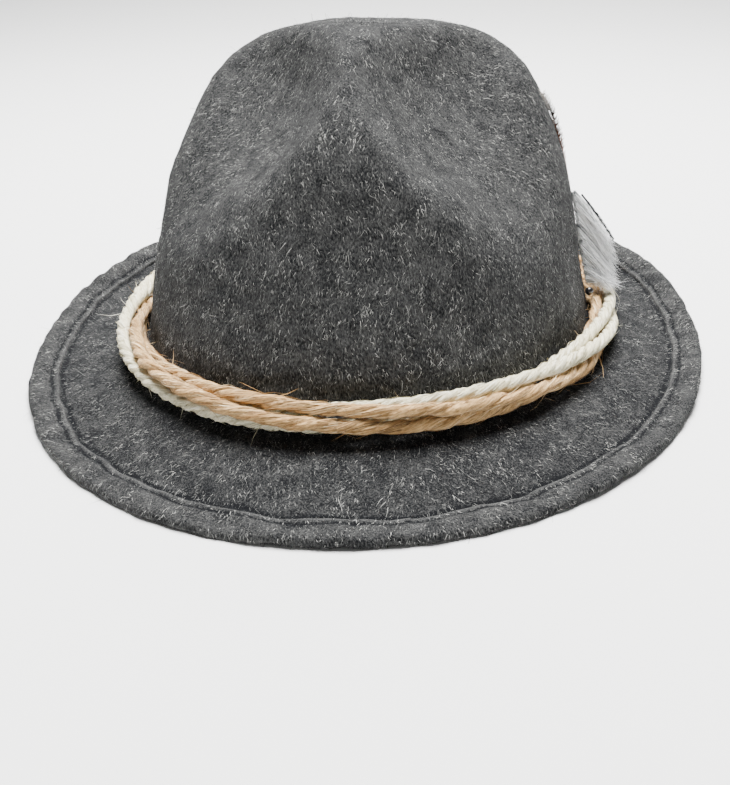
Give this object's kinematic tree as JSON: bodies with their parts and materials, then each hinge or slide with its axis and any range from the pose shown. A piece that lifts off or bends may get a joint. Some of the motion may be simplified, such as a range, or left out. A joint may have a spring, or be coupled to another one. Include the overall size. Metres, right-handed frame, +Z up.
{
  "type": "tyrolean hat",
  "caption": "Soft wool felt hat with a pinched front, a turned-up welt brim, a twisted cord band and a feather plume at the side.",
  "frame": {"origin": "middle of the felt's outline at the height of the surface it rests on", "axes": "+Z up through the crown, -Y to the front of the hat, +X to the side that carries the plume"},
  "size_m": [0.268, 0.2966, 0.1218],
  "materials": {
    "felt": "mottled charcoal wool felt, matt",
    "cord_cream": "natural twisted cord, matt",
    "cord_tan": "brown twisted cord with loose fibres, matt",
    "plume_white": "white feather down, soft",
    "feather_brown": "brown feather with a black edge, soft sheen",
    "feather_dark": "dark feather vane, soft sheen",
    "pin": "glossy dark bead"
  },
  "bodies": {
    "root": {"felt_body": "felt", "cord_cream_outer": "cord_cream", "cord_cream_inner": "cord_cream", "cord_tan_outer": "cord_tan", "cord_tan_inner": "cord_tan", "plume_white": "plume_white", "feather_brown": "feather_brown", "feather_dark": "feather_dark", "plume_pin": "pin"}
  },
  "joints": []
}
